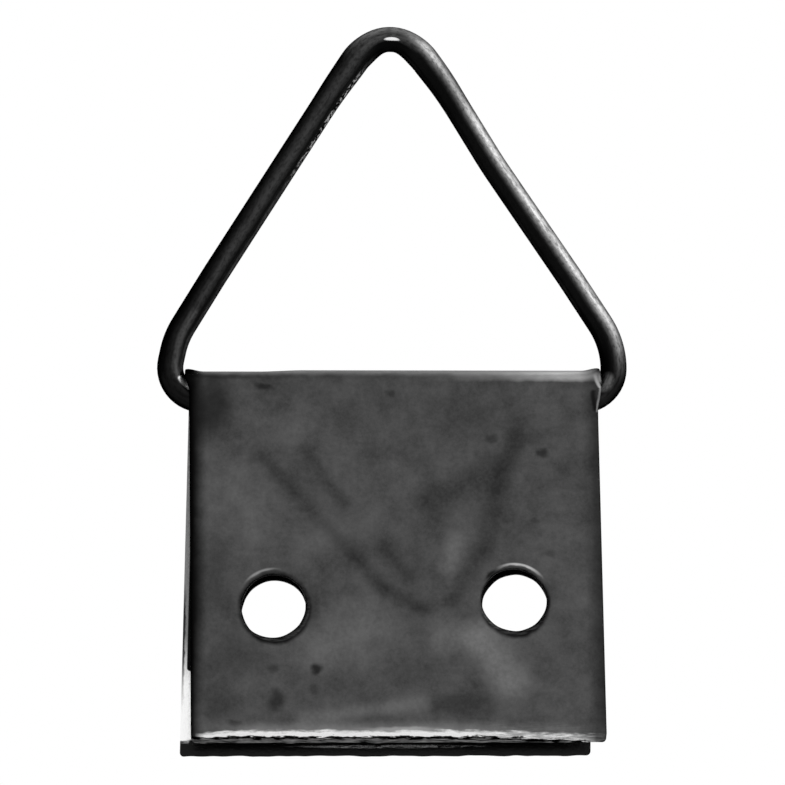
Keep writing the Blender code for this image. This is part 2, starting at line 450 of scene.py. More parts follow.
moved = add(fold, "GeometryNodeSetPosition", {"Geometry": kept, "Position": folded})
real = add(fold, "GeometryNodeRealizeInstances", [moved])
dressed = add(fold, "GeometryNodeSetMaterial", {"Geometry": real, "Material": given["Material"]})
add(fold, "NodeGroupOutput", [dressed])
print("fold tree nodes:", len(fold.nodes))

# %% [markdown]
# ## Running a tree
#
# A modifier's inputs are filled by each socket's identifier before anything asks for the result. The
# evaluated object is then copied to a plain mesh, and the modifier goes: what is left is a finished
# piece that any program can read.

# %% Run a tree
SMOOTH_ANGLE = math.radians(40)


def run_tree(piece, tree, inputs):
    """Evaluate a tree on a piece and keep the result as its plain mesh."""
    modifier = piece.modifiers.new(tree.name, "NODES")
    modifier.node_group = tree
    for item in tree.interface.items_tree:
        if item.in_out == "INPUT" and item.name in inputs:
            modifier[item.identifier] = inputs[item.name]
    piece.update_tag()
    made = piece.evaluated_get(bpy.context.evaluated_depsgraph_get())
    mesh = bpy.data.meshes.new_from_object(made)
    piece.modifiers.clear()
    piece.data = mesh
    mesh.shade_smooth()
    mesh.set_sharp_from_angle(angle=SMOOTH_ANGLE)


plate_steel = bpy.data.materials.new("dull_cold_rolled_sheet_steel")
run_tree(plate, fold, {
    "Middle Radius": MID_RADIUS, "Half Fold": HALF_FOLD, "Fold Turn": FOLD_TURN, "Opening": FRONT_OPENING,
    "Front Drift": math.tan(FRONT_SKEW), "Back Drift": math.tan(BACK_SKEW),
    "Axis Depth": AXIS.y, "Axis Height": AXIS.z,
    "Half Width": HALF_STRIP, "Flare Reach": 0.7 * MM, "Flare Rise": 0.26 * MM,
    "Inner Face": -SHEET / 2, "Rolled Edge": SHEET / 2 - ROLL_DEPTH, "Ear Length": 0.22 * MM,
    "Left Ear End": 1.7 * MM, "Right Ear End": 2.7 * MM,
    "Sink": 0.07 * MM, "Sink Start": -4.4 * MM, "Sink End": -6.6 * MM, "Material": plate_steel,
})
print("folded plate faces:", len(plate.data.polygons))

# %% [markdown]
# ## Bending the wire
#
# A wire bender turns a straight length round pegs, and each bend takes its peg's radius. The wire's
# route is therefore a few corner points with a bend radius each. Neither leg of the real wire is quite
# straight, so some corners are shifted a little, and wide bends part way down the legs give them a
# slight bow. Fillet Curve rounds the corners and Curve to Mesh draws a circle along the route. The
# place along the wire and round its section is kept as two attributes, because the drawing lines of
# the metal run along it. Both cut ends meet inside the fold.

# %% Wire route
# The photographed wire is a little thicker than the solid's 1.25 mm.
WIRE_RADIUS = 0.648 * MM
BASE_HALF_WIDTH = 10.95 * MM
LOWER_BEND = 1.6 * MM
UPPER_BEND = 4.2 * MM
APEX_BEND = 2.12 * MM
APEX_HALF_ANGLE = math.radians(32.35)
APEX_LEAN = math.radians(0.2)
APEX_SHIFT = -0.05 * MM
LEFT_CORNER_SHIFT = -0.36 * MM
LEFT_SHOULDER_SHIFT = (0.29 * MM, 0.27 * MM)
RIGHT_KINKS = ((16.6 * MM, 0.02 * MM), (9.6 * MM, -0.083 * MM), (4.3 * MM, 0.1 * MM))
LEFT_KINKS = ((16.4 * MM, -0.025 * MM),)
KINK_BEND = 30 * MM
END_GAP = 0.4 * MM
BEND_CLEARANCE = 0.02 * MM


def leg_kinks(side, peak, kinks):
    """List the corners part way down a leg, each given by its way from the peak and its shift outwards."""
    sine, cosine = math.sin(APEX_HALF_ANGLE), math.cos(APEX_HALF_ANGLE)
    return [(side * (down * sine + shift * cosine), peak - down * cosine + shift * sine, KINK_BEND)
            for down, shift in kinks]


def wire_route():
    """List the route's corners with their bend radii, from one cut end to the other."""
    shoulder = LOWER_BEND + UPPER_BEND * math.tan(APEX_HALF_ANGLE / 2) + BEND_CLEARANCE
    peak = shoulder + BASE_HALF_WIDTH / math.tan(APEX_HALF_ANGLE)
    return [
        (END_GAP / 2, 0.0, 0.0),
        (BASE_HALF_WIDTH, 0.0, LOWER_BEND),
        (BASE_HALF_WIDTH, shoulder, UPPER_BEND),
        *leg_kinks(1, peak, RIGHT_KINKS),
        (APEX_SHIFT, peak, APEX_BEND),
        *leg_kinks(-1, peak, LEFT_KINKS),
        (-BASE_HALF_WIDTH + LEFT_SHOULDER_SHIFT[0], shoulder + LEFT_SHOULDER_SHIFT[1], UPPER_BEND),
        (-BASE_HALF_WIDTH + LEFT_CORNER_SHIFT, 0.0, LOWER_BEND),
        (-END_GAP / 2, 0.0, 0.0),
    ]


corners = wire_route()
places = [(AXIS.x + across - height * math.tan(APEX_LEAN), AXIS.y, AXIS.z + height)
          for across, height, _ in corners]
wire_mesh = bpy.data.meshes.new("wire")
wire_mesh.from_pydata(places, [(index, index + 1) for index in range(len(places) - 1)], [])
bends = wire_mesh.attributes.new("bend_radius", "FLOAT", "POINT")
bends.data.foreach_set("value", [bend for _, _, bend in corners])
wire = bpy.data.objects.new("triangle_wire_dressed", wire_mesh)
bpy.context.scene.collection.objects.link(wire)
print("wire corners:", len(corners))

# %% [markdown]
# ## The wire tree
#
# The tree rounds the corners, keeps the attributes and draws the tube. In the photograph the wire is
# thinner at the tight bend of the apex and swollen on both sides, where it also lies a little lower.

# %% Wire tree
WIRE_SIDES = 48
BEND_STEPS = 32

bender, given = new_tree("bend the wire", (
    "Wire Radius", "Ring Step", "Neck", "Neck End", "Swelling", "Swelling Place", "Swelling End",
    "Press Depth", "Material"))
route = add(bender, "GeometryNodeMeshToCurve", [given["Geometry"]])
bend = add(bender, "GeometryNodeInputNamedAttribute", ["bend_radius"], data_type="FLOAT")
bent = add(bender, "GeometryNodeFilletCurve", {"Curve": route, "Count": BEND_STEPS, "Radius": bend},
           mode="POLY")
even = add(bender, "GeometryNodeResampleCurve", {"Curve": bent, "Length": given["Ring Step"]}, mode="LENGTH")
length = add(bender, "GeometryNodeSplineParameter", output="Length")
half_length = add(bender, "GeometryNodeSplineLength", output="Length")
half_length = add(bender, MATH, [half_length, 0.5], operation="MULTIPLY")
from_apex = add(bender, MATH, [half_length, length], operation="SUBTRACT")
route_kept = add(bender, "GeometryNodeStoreNamedAttribute",
                 {"Geometry": even, "Name": "from_apex", "Value": from_apex}, data_type="FLOAT")
circle = add(bender, "GeometryNodeCurvePrimitiveCircle",
             {"Resolution": WIRE_SIDES, "Radius": given["Wire Radius"]})
round_place = add(bender, "GeometryNodeInputPosition")
ring_kept = add(bender, "GeometryNodeStoreNamedAttribute",
                {"Geometry": circle, "Name": "round_wire", "Value": round_place},
                data_type="FLOAT_VECTOR")

# The girth runs from the neck at the apex to the swelling, and from there to the plain wire.
kept_apex = add(bender, "GeometryNodeInputNamedAttribute", ["from_apex"], data_type="FLOAT")
away = add(bender, MATH, [kept_apex], operation="ABSOLUTE")
girth = add(bender, RANGE, [away, given["Neck End"], given["Swelling Place"],
                            given["Neck"], given["Swelling"]], **SMOOTH)
taper = add(bender, RANGE, [away, given["Swelling Place"], given["Swelling End"],
                            given["Swelling"]], **SMOOTH)
beyond = add(bender, MATH, [away, given["Swelling Place"]], operation="GREATER_THAN")
girth = add(bender, MIX, {"Factor": beyond, "A": girth, "B": taper})
drop = add(bender, RANGE, [girth, given["Neck"], given["Swelling"], 0.0, given["Press Depth"]])
near = add(bender, RANGE, [away, given["Swelling End"], given["Swelling Place"]], **SMOOTH)
for part in (near, -1.0):
    drop = add(bender, MATH, [drop, part], operation="MULTIPLY")
drop = add(bender, COMBINE, {"Z": drop})
route_kept = add(bender, "GeometryNodeSetPosition", {"Geometry": route_kept, "Offset": drop})
tube = add(bender, "GeometryNodeCurveToMesh",
           {"Curve": route_kept, "Profile Curve": ring_kept, "Scale": girth, "Fill Caps": True})
real = add(bender, "GeometryNodeRealizeInstances", [tube])
dressed = add(bender, "GeometryNodeSetMaterial", {"Geometry": real, "Material": given["Material"]})
add(bender, "NodeGroupOutput", [dressed])

wire_steel = bpy.data.materials.new("blackened_drawn_steel_wire")
run_tree(wire, bender, {
    "Wire Radius": WIRE_RADIUS, "Ring Step": 0.2 * MM, "Neck": 0.97, "Neck End": 0.2 * MM, "Swelling": 1.13,
    "Swelling Place": 1.7 * MM, "Swelling End": 5.5 * MM, "Press Depth": 0.17 * MM, "Material": wire_steel,
})
print("wire faces:", len(wire.data.polygons))

# %% [markdown]
# ## Layers of metal
#
# Old metal is best painted in the order in which it aged: a plain tone first, then one layer after
# another, each laid on through masks. One helper masks a soft oval on the flat strip, and the next a
# soft stroke between two places. A third lays a list of layers over a tone: each has a colour, a
# strength and one or more masks, and shows where all of its masks let it through. The last joins the
# finished metal to its shader. Every size in the cells below is in millimetres.

# %% Layer helpers
NOISE = "ShaderNodeTexNoise"


def shader_of(material):
    """Return a material's node tree and its Principled shader."""
    material.use_nodes = True
    return material.node_tree, material.node_tree.nodes["Principled BSDF"]


def blot(tree, place, centre, size, turn=0.0, core=0.2, run=0.0):
    """Mask one soft oval of half sizes in mm, full inside its core and drawn out by run both ways."""
    moved = add(tree, VECTOR, [place, (*centre, 0.0)], operation="SUBTRACT")
    turned = add(tree, ROTATE, {"Vector": moved, "Angle": -math.radians(turn)}, rotation_type="Z_AXIS")
    folded = add(tree, VECTOR, [turned], operation="ABSOLUTE")
    beyond = add(tree, VECTOR, [folded, (run, 0.0, 0.0)], operation="SUBTRACT")
    beyond = add(tree, VECTOR, [beyond, (0.0, 0.0, 0.0)], operation="MAXIMUM")
    scaled = add(tree, VECTOR, [beyond, (1 / size[0], 1 / size[1], 0.0)], operation="MULTIPLY")
    away = add(tree, VECTOR, [scaled], operation="LENGTH")
    return add(tree, RANGE, [away, core, 1.0, 1.0, 0.0], **SMOOTH)


def stroke(tree, place, start, end, half_width, core=0.0):
    """Mask one soft stroke between two places."""
    route = Vector(end) - Vector(start)
    middle = (Vector(start) + Vector(end)) / 2
    turn = math.degrees(math.atan2(route.y, route.x))
    return blot(tree, place, middle, (half_width, half_width), turn, core, run=route.length / 2)


def lay_over(tree, tone, layers):
    """Lay colours over a tone in turn. Each layer is a hex colour or a tone, a strength and its masks."""
    for colour, share, *masks in layers:
        for mask in masks:
            share = add(tree, MATH, [mask, share], operation="MULTIPLY")
        top = linear(colour) if isinstance(colour, str) else colour
        tone = add(tree, MIX, {0: share, 6: tone, 7: top}, data_type="RGBA")
    return tone


def set_metal(tree, shader, tone, roughness, normal, tint):
    """Join a metal's finished sockets to its shader. The tint dulls the grazing edges."""
    for name, socket in (("Base Color", tone), ("Roughness", roughness), ("Normal", normal)):
        tree.links.new(socket, shader.inputs[name])
    shader.inputs["Metallic"].default_value = 1.0
    shader.inputs["Specular Tint"].default_value = linear(tint)
    print("nodes of the metal:", len(tree.nodes))


# %% [markdown]
# ## The plate's metal
#
# The strip is cold-rolled sheet steel that has gone dull and dark under a thin oxide. Bare steel would
# be a light grey mirror; the oxide leaves the eye a soft grey sheen with cloudy stains. Fractal noise
# gives the clouds, from patches a few millimetres wide down to the grain of the rolled skin. That
# grain is drawn coarser than its real size of about 0.05 mm, so that it shows.

# %% Plate: oxide and clouds
OXIDE_DARK, OXIDE_LIGHT = "#323232", "#606060"
CLOUD_SIZE = 2.2
WANDER_SIZE = 0.6
SMUDGE = (0.45, 0.45, 0.0)
FRAY = (0.2, 0.2, 0.1)

tree, shader = shader_of(plate_steel)
place = add(tree, "ShaderNodeAttribute", output="Vector", attribute_name="flat_place")
place = add(tree, VECTOR, {0: place, 3: 1 / MM}, operation="SCALE")
across, along, out = add(tree, SEPARATE, [place]).node.outputs
wander = add(tree, NOISE, {"Vector": place, "Scale": 1 / WANDER_SIZE, "Detail": 3.0}, output="Color")
wander = add(tree, VECTOR, [wander, (0.5, 0.5, 0.5)], operation="SUBTRACT")
smudged = add(tree, VECTOR, [wander, SMUDGE, place], operation="MULTIPLY_ADD")
frayed = add(tree, VECTOR, [wander, FRAY, place], operation="MULTIPLY_ADD")
frayed_across, frayed_along, _ = add(tree, SEPARATE, [frayed]).node.outputs

clouds = add(tree, NOISE, {"Vector": place, "Scale": 1 / CLOUD_SIZE, "Detail": 8.0, "Roughness": 0.8})
clouds = add(tree, RANGE, [clouds, 0.25, 0.75])
tone = add(tree, MIX, {0: clouds, 6: linear(OXIDE_DARK), 7: linear(OXIDE_LIGHT)}, data_type="RGBA")

# %% [markdown]
# ## Rubs, specks and sheen
#
# Handling leaves long dark rubs, here in the shape of a V, a few specks of dirt and some lighter
# patches. A rub is a stroke between two places with a half width, broken up a little by the grain of
# the metal. A spot is an oval with two half sizes and a turn in degrees, and is more smudged. Each is
# one line of a list that begins with its colour and strength, read off the photograph.

# %% Plate: marks
DIRT, DULL, SHEEN = "#0c0c0c", "#1a1a1a", "#8c8c8c"
RUB_GRAIN = 0.22
RUBS = (
    (DULL, 0.48, (-6.6, 4.9), (-0.6, 11.5), 0.64),
    (DULL, 0.25, (-7.0, 5.2), (-5.6, 4.6), 0.4),
    (DULL, 0.45, (-0.6, 11.5), (1.3, 12.5), 0.6),
    (DULL, 0.14, (-4.6, 5.6), (0.3, 11.0), 1.4),
    (DULL, 0.4, (-4.5, 4.6), (-2.5, 7.3), 0.6),
    (DULL, 0.48, (-0.6, 9.5), (0.5, 10.8), 0.75),
    (DULL, 0.42, (1.0, 12.5), (2.6, 12.1), 0.6),
    (DULL, 0.47, (5.9, 4.1), (5.0, 6.5), 0.85),
    (DULL, 0.42, (4.9, 6.8), (4.2, 9.6), 1.05),
    (DULL, 0.36, (4.2, 9.6), (2.6, 12.0), 0.7),
    (DULL, 0.58, (4.8, 5.8), (1.7, 7.3), 1.35),
    (SHEEN, 0.46, (4.1, 13.8), (5.3, 15.9), 1.6),
    (SHEEN, 0.28, (-4.6, 17.8), (1.2, 17.0), 0.6),
    (SHEEN, 0.3, (2.2, 13.9), (3.4, 13.9), 1.3),
    (SHEEN, 0.26, (-3.6, 14.5), (-1.4, 13.1), 2.0),
    (SHEEN, 0.3, (2.9, 9.2), (2.5, 10.4), 0.8),
    (SHEEN, 0.16, (-7.6, 6.4), (-7.2, 8.6), 2.2),
    (SHEEN, 0.12, (-4.2, 9.4), (-1.6, 8.2), 1.4),
    (DULL, 0.16, (-3.0, 2.2), (5.5, 2.6), 1.9),
    (DULL, 0.2, (3.6, 3.4), (6.4, 3.6), 1.4),
)
SPOTS = (
    (DULL, 0.75, (-9.0, 2.6), (1.7, 2.4), 20),
    (DULL, 0.3, (-9.0, 10.8), (1.5, 3.0), 0),
    (DULL, 0.28, (-7.9, 14.8), (2.4, 1.8), 0),
    (DULL, 0.3, (-8.9, 17.0), (1.4, 1.2), 0),
    (DULL, 0.1, (-6.0, 1.7), (4.0, 0.7), 0),
    (DULL, 0.16, (1.0, 15.3), (2.0, 1.2), 0),
    (DULL, 0.38, (2.9, 17.1), (2.6, 0.8), 0),
    (DIRT, 0.8, (-3.96, 15.38), (0.4, 0.36), 0),
    (DIRT, 0.65, (-5.9, 16.9), (0.6, 0.75), 0),
    (DIRT, 0.4, (-6.0, 15.4), (0.4, 0.35), 0),
    (DIRT, 0.35, (-4.1, 16.4), (0.3, 0.3), 0),
    (DIRT, 0.5, (-7.88, 17.97), (0.5, 0.28), 0),
    (DIRT, 0.6, (-6.4, 1.55), (0.8, 0.22), 20),
    (DIRT, 0.45, (-0.15, 1.87), (0.35, 0.25), 0),
    (DIRT, 0.6, (7.15, 4.8), (0.5, 0.3), 20),
    (DIRT, 0.4, (4.7, 4.1), (0.4, 0.35), 0),
    (DIRT, 0.35, (6.75, 8.2), (0.3, 0.25), 0),
    (DIRT, 0.35, (7.4, 9.8), (0.5, 0.25), 0),
    (DIRT, 0.85, (4.58, 10.75), (0.6, 0.26), -38),
    (DULL, 0.4, (-4.12, 12.3), (0.5, 1.4), 0),
)

speckle = add(tree, NOISE, {"Vector": place, "Scale": 1 / RUB_GRAIN, "Detail": 2.0})
speckle = add(tree, RANGE, [speckle, 0.35, 0.65, 0.7])
tone = lay_over(tree, tone, [(colour, strength, stroke(tree, frayed, *route), speckle)
                             for colour, strength, *route in RUBS])
tone = lay_over(tree, tone, [(colour, strength, blot(tree, smudged, *oval))
                             for colour, strength, *oval in SPOTS])

# %% [markdown]
# ## Edges and fold
#
# Painted shade darkens the rolled edges, more on the left than on the right, and on the left it gets
# narrower towards the lower end. Along the fold a painted highlight lightens the crest in a thin line,
# and a painted highlight brightens its crown towards the right end. Four strokes at that end are one
# dark stroke and three painted highlights on the edges of the spread metal.

# %% Plate: edges and fold
HALF_WIDTH = HALF_STRIP / MM
CROWN_HIGHLIGHT_POWER = 5.5
# GRIME_AND_SHADE is painted shade on the rolled edges, under the lip, round the holes and between the
# leaves, and a few dark strokes.
GRIME_AND_SHADE, CROWN_HIGHLIGHT, CREST_HIGHLIGHT_AND_DASHES = "#101010", "#ffffff", "#d8d8d8"
END_FACE_HIGHLIGHT, END_FOLD_HIGHLIGHT, END_EDGE_HIGHLIGHT = "#707070", "#a0a0a0", "#848484"
# A dark stroke, then three painted highlights on the edges of the fold's spread right end.
EDGE_MARKS = (
    (GRIME_AND_SHADE, 0.85, (9.68, 1.8), (9.84, 2.6), 0.17),
    (END_FACE_HIGHLIGHT, 0.8, (9.98, 0.7), (9.98, 1.2), 0.15),
    (END_FOLD_HIGHLIGHT, 0.8, (9.74, 0.6), (9.9, 1.5), 0.1),
    (END_EDGE_HIGHLIGHT, 0.75, (9.94, 1.6), (9.95, 2.7), 0.09),
)

# Painted shade along the rolled side edges, more on the left.
narrower = add(tree, RANGE, [along, 13.0, 17.0, 0.0, 0.25])
from_left = add(tree, MATH, [frayed_across, narrower], operation="ADD")
left = add(tree, RANGE, [from_left, -HALF_WIDTH + 0.15, -HALF_WIDTH + 0.95, 1.0, 0.0], **SMOOTH)
right = add(tree, RANGE, [frayed_across, HALF_WIDTH - 0.85, HALF_WIDTH])
# Painted highlights on the fold: a thin line along the crest and a bright crown towards the right end.
from_crest = add(tree, MATH, [frayed_along], operation="ABSOLUTE")
crown = add(tree, RANGE, [from_crest, 1.33, 0.7])
crown_highlight_rightwards = add(tree, RANGE, [across, -8.0, 8.0])
crown_highlight_rightwards = add(tree, MATH, [crown_highlight_rightwards, CROWN_HIGHLIGHT_POWER], operation="POWER")
crest_highlight = add(tree, RANGE, [from_crest, 1.1, 0.55])
top = add(tree, RANGE, [from_crest, 0.0, 0.5, 0.5])
tone = lay_over(tree, tone, [
    (CROWN_HIGHLIGHT, 1.0, crown, crown_highlight_rightwards),
    (CREST_HIGHLIGHT_AND_DASHES, 0.65, crest_highlight, crest_highlight, top),
    (GRIME_AND_SHADE, 0.8, right),
    (GRIME_AND_SHADE, 1.0, left),
])
tone = lay_over(tree, tone, [(colour, strength, stroke(tree, frayed, *route, core=0.1))
                             for colour, strength, *route in EDGE_MARKS])

# %% [markdown]
# ## The sheared ends
#
# The shears left a rolled lip on the front leaf. It is rubbed bare and painted as a bright highlight,
# with a soft halo of painted sheen above it, a dark line of painted shade under it, and a broken face
# whose torn streaks run along the cut. The measure is the way past the end, less than zero on the leaf.
# Towards the right the lip's highlight is thin and sags, and at the left corner it droops. The inner
# side of the leaves is painted as bright as the lip, as a painted reflection.

# %% Plate: lip and cut faces
# The lip is bare metal painted as a bright highlight; its halo, the spray and the inner side are painted
# sheen and reflection.
BARE_AND_HIGHLIGHT, BREAK_DARK, BREAK_LIGHT = "#fcfcfc", "#161616", "#8a8a8a"
FRONT_EDGE = FRONT_END / MM
BACK_EDGE = BACK_END / MM
TORN_PITCH = (1.5, 9.0, 9.0)
FIZZ_PITCH = (1.4, 12.0, 12.0)

torn = add(tree, VECTOR, [place, TORN_PITCH], operation="MULTIPLY")
torn = add(tree, NOISE, {"Vector": torn, "Scale": 1.0, "Detail": 3.0, "Roughness": 0.65})
tear = add(tree, RANGE, [torn, 0.2, 0.8, -0.1, 0.1])
streaky = add(tree, RANGE, [torn, 0.35, 0.7])
past_front = add(tree, MATH, [frayed_along, FRONT_EDGE], operation="SUBTRACT")
past_back = add(tree, MATH, [BACK_EDGE, frayed_along], operation="SUBTRACT")
past_end = add(tree, MATH, [past_front, past_back], operation="MAXIMUM")
halo_sheen = add(tree, RANGE, [past_end, -0.9, -0.3], **SMOOTH)
begun = add(tree, RANGE, [frayed_across, -9.0, -6.8])
to_right = add(tree, RANGE, [frayed_across, 3.4, 5.2])
faint = add(tree, RANGE, [to_right, 0.0, 1.0, 1.0, 0.1])

sag = add(tree, RANGE, [frayed_across, 4.3, 9.5, 0.0, -0.2])
for shift in (sag, tear):
    past_end = add(tree, MATH, [past_end, shift], operation="ADD")
droop = add(tree, RANGE, [frayed_across, -7.5, -9.3, 0.0, -0.07])
on_lip = add(tree, MATH, [past_end, droop], operation="ADD")
fizz = add(tree, VECTOR, [place, FIZZ_PITCH], operation="MULTIPLY")
fizz = add(tree, NOISE, {"Vector": fizz, "Scale": 1.0, "Detail": 3.0, "Roughness": 0.7})
fizz = add(tree, RANGE, [fizz, 0.38, 0.64, 0.3])
thin = add(tree, MIX, {"Factor": to_right, "A": 1.0, "B": fizz})
left_end = add(tree, RANGE, [frayed_across, -HALF_WIDTH + 0.2, -HALF_WIDTH + 0.7])
right_end = add(tree, RANGE, [frayed_across, 9.5, 8.6, 0.1])
lip_highlight = add(tree, RANGE, [on_lip, -0.39, -0.2], **SMOOTH)
for part in (thin, left_end, right_end):
    lip_highlight = add(tree, MATH, [lip_highlight, part], operation="MULTIPLY")
broader = blot(tree, frayed, (0.1, FRONT_EDGE - 0.4), (2.6, 0.16))
spray = add(tree, RANGE, [past_end, -0.85, -0.3])

inside = add(tree, RANGE, [out, -0.2, -0.24])
# A line of painted shade under the lip.
line = add(tree, RANGE, [past_end, -0.075, -0.045])
cut_face = add(tree, RANGE, [past_end, 0.03, 0.06])
broken = add(tree, MIX, {0: streaky, 6: linear(BREAK_DARK), 7: linear(BREAK_LIGHT)}, data_type="RGBA")
tone = lay_over(tree, tone, [
    (BARE_AND_HIGHLIGHT, 0.12, halo_sheen, faint, begun),
    (BARE_AND_HIGHLIGHT, 1.0, lip_highlight),
    (BARE_AND_HIGHLIGHT, 0.2, broader),
    (BARE_AND_HIGHLIGHT, 0.1, spray, fizz, to_right, right_end),
    (BARE_AND_HIGHLIGHT, 1.0, inside),
    (GRIME_AND_SHADE, 1.0, line),
    (broken, 1.0, cut_face),
])

# %% [markdown]
# ## The inner side of the back leaf
#
# A painted shadow of the front leaf covers the inner side along the longer back end, with light dashes
# in it. A sliver of the inner side shows beside the front leaf: darker grey at the top, painted bright at
# the foot, and dark along its rim and in the front leaf's painted shadow.

# %% Plate: inner side
END_SHADOW, SLIVER_TOP_GREY = "#1c1c1c", "#4a4a4a"
DASH_PLACE = BACK_EDGE + 0.27

from_back = add(tree, MATH, [along, BACK_EDGE], operation="SUBTRACT")
shorter = add(tree, RANGE, [across, -9.3, -9.6, 0.0, 0.18])
for shift in (tear, shorter):
    from_back = add(tree, MATH, [from_back, shift], operation="ADD")
# Painted shadow of the front leaf on the back leaf's inner side.
end_shadow = add(tree, RANGE, [from_back, 0.8, 0.65])
dashes = add(tree, RANGE, [torn, 0.44, 0.54])
dash_reach = blot(tree, place, (0.2, DASH_PLACE), (5.6, 0.1), core=0.5)
dash = stroke(tree, frayed, (0.4, DASH_PLACE), (2.5, DASH_PLACE), 0.08)
on_back = add(tree, MATH, [along, 0.0], operation="LESS_THAN")
sliver_top = add(tree, RANGE, [along, -16.2, -13.2], **SMOOTH)
rim = add(tree, RANGE, [frayed_across, -HALF_WIDTH + 0.14, -HALF_WIDTH + 0.08])
rim_top = add(tree, RANGE, [along, -10.8, -12.2])
rim_foot = add(tree, RANGE, [along, -17.2, -14.6])
shadow = stroke(tree, place, (-9.6, -2.0), (-9.6, -15.0), 0.19, core=0.7)
tone = lay_over(tree, tone, [
    (END_SHADOW, 1.0, end_shadow, inside),
    (CREST_HIGHLIGHT_AND_DASHES, 0.7, dashes, dash_reach),
    (CREST_HIGHLIGHT_AND_DASHES, 0.7, dash),
    (SLIVER_TOP_GREY, 0.85, sliver_top, on_back, inside),
    (GRIME_AND_SHADE, 0.9, rim, rim_top, rim_foot),
    (GRIME_AND_SHADE, 1.0, shadow, inside),
])

# %% [markdown]
# ## The punched holes
#
# A ring round each hole, over its rolled rim and wall, is painted nearly black as shade. The wall of
# the hole is streaked, and painted shade spreads wider on the leaves' inner sides, between the leaves.
# On the front leaf a short arc of each rim gets a painted glint.

# %% Plate: holes
RIM_SHADES = {-1: (1.89, 0.08), 1: (1.8, 0.13)}
INNER_SHADE = 2.3
WALL_RADIUS = 1.74
WALL, GLINT = "#565656", "#c8c8c8"
GLINTS = {-1: (1.89, -22, 1.15, 0.38), 1: (1.83, 12, 1.4, 1.0)}
GLINT_OUTER, GLINT_INNER = 0.06, 0.05

for across_hole, along_hole in hole_places():
    centre = (across_hole / MM, along_hole / MM)
    side = 1 if across_hole > 0 else -1
    radius, drop = RIM_SHADES[side]
    # Painted shade in each hole's rim, and between the leaves round it.
    rim_shade = blot(tree, frayed, (centre[0], centre[1] + drop), (radius, radius), core=0.86)
    wall = blot(tree, place, centre, (WALL_RADIUS, WALL_RADIUS), core=0.92)
    behind = blot(tree, frayed, centre, (INNER_SHADE, INNER_SHADE), core=0.86)
    tone = lay_over(tree, tone, [
        (GRIME_AND_SHADE, 1.0, rim_shade),
        (WALL, 0.8, wall, streaky),
        (GRIME_AND_SHADE, 1.0, behind, inside),
    ])
    # A painted glint on an arc of the front leaf's rim.
    if along_hole > 0:
        radius, turn, reach, strength = GLINTS[side]
        outer, inner = radius + GLINT_OUTER, radius - GLINT_INNER
        ring = blot(tree, place, centre, (outer, outer), core=0.95)
        hollow = blot(tree, frayed, centre, (inner, inner), core=0.95)
        ring = add(tree, MATH, [ring, hollow], operation="SUBTRACT", use_clamp=True)
        middle = (centre[0] + radius * math.sin(math.radians(turn)),
                  centre[1] - radius * math.cos(math.radians(turn)))
        arc = blot(tree, place, middle, (reach, reach))
        tone = lay_over(tree, tone, [(GLINT, strength, ring, arc)])

# %% [markdown]
# ## The plate's sheen
#
# Cold-rolled steel has a satin gloss: roughness about 0.4, less on the bright lip and the inner side. The
# same clouds vary it, and a shallow bump gives the skin its grain. A grey tint takes some light off the
# grazing edges, which the oxide dulls too.

# %% Plate: shader
BRIGHT_ROUGHNESS = 0.2
PLATE_TINT = "#606060"
GRAIN_SCALE = 7.0

sheen = add(tree, RANGE, [clouds, 0.0, 1.0, 0.44, 0.36])
bright_lip_and_inside = add(tree, MATH, [lip_highlight, inside], operation="MAXIMUM")
sheen = add(tree, MIX, {"Factor": bright_lip_and_inside, "A": sheen, "B": BRIGHT_ROUGHNESS})
grain = add(tree, NOISE, {"Vector": place, "Scale": GRAIN_SCALE, "Detail": 3.0})
skin = add(tree, "ShaderNodeBump", {"Height": grain, "Strength": 0.25, "Distance": 0.02 * MM})
set_metal(tree, shader, tone, sheen, skin, PLATE_TINT)

# %% [markdown]
# ## The wire's metal
#
# The wire is drawn steel with a black skin, and has fine lines along its length from the drawing die.
# Its light and shade are painted round the section: a soft grey reflection along the left leg's front,
# and a bright highlight along the right leg's outer side. One colour ramp round the section paints each
# stretch, from the inner side to the outer side.

# %% Wire: tones round the section
STREAK_WIDTH = 0.22
STREAK_LENGTH = 1.6
STREAKS_ROUND = WIRE_RADIUS / MM / STREAK_WIDTH
STREAK_PITCH = (STREAKS_ROUND, STREAKS_ROUND, 1 / STREAK_LENGTH)

tree, shader = shader_of(wire_steel)
stretch = add(tree, "ShaderNodeAttribute", output="Fac", attribute_name="from_apex")
stretch = add(tree, MATH, [stretch, 1 / MM], operation="MULTIPLY")
ring = add(tree, "ShaderNodeAttribute", output="Vector", attribute_name="round_wire")
ring = add(tree, VECTOR, {0: ring, 3: 1 / WIRE_RADIUS}, operation="SCALE")
front, outward, _ = add(tree, SEPARATE, [ring]).node.outputs

streaks_place = add(tree, COMBINE, [front, outward, stretch])
streaks_place = add(tree, VECTOR, [streaks_place, STREAK_PITCH], operation="MULTIPLY")
streaks = add(tree, NOISE, {"Vector": streaks_place, "Scale": 1.0, "Detail": 4.0, "Roughness": 0.6})
drift = add(tree, RANGE, [streaks, 0.25, 0.75, -0.07, 0.07])
height = add(tree, MATH, [outward, drift], operation="ADD")
height = add(tree, RANGE, [height, -1.0, 1.0])

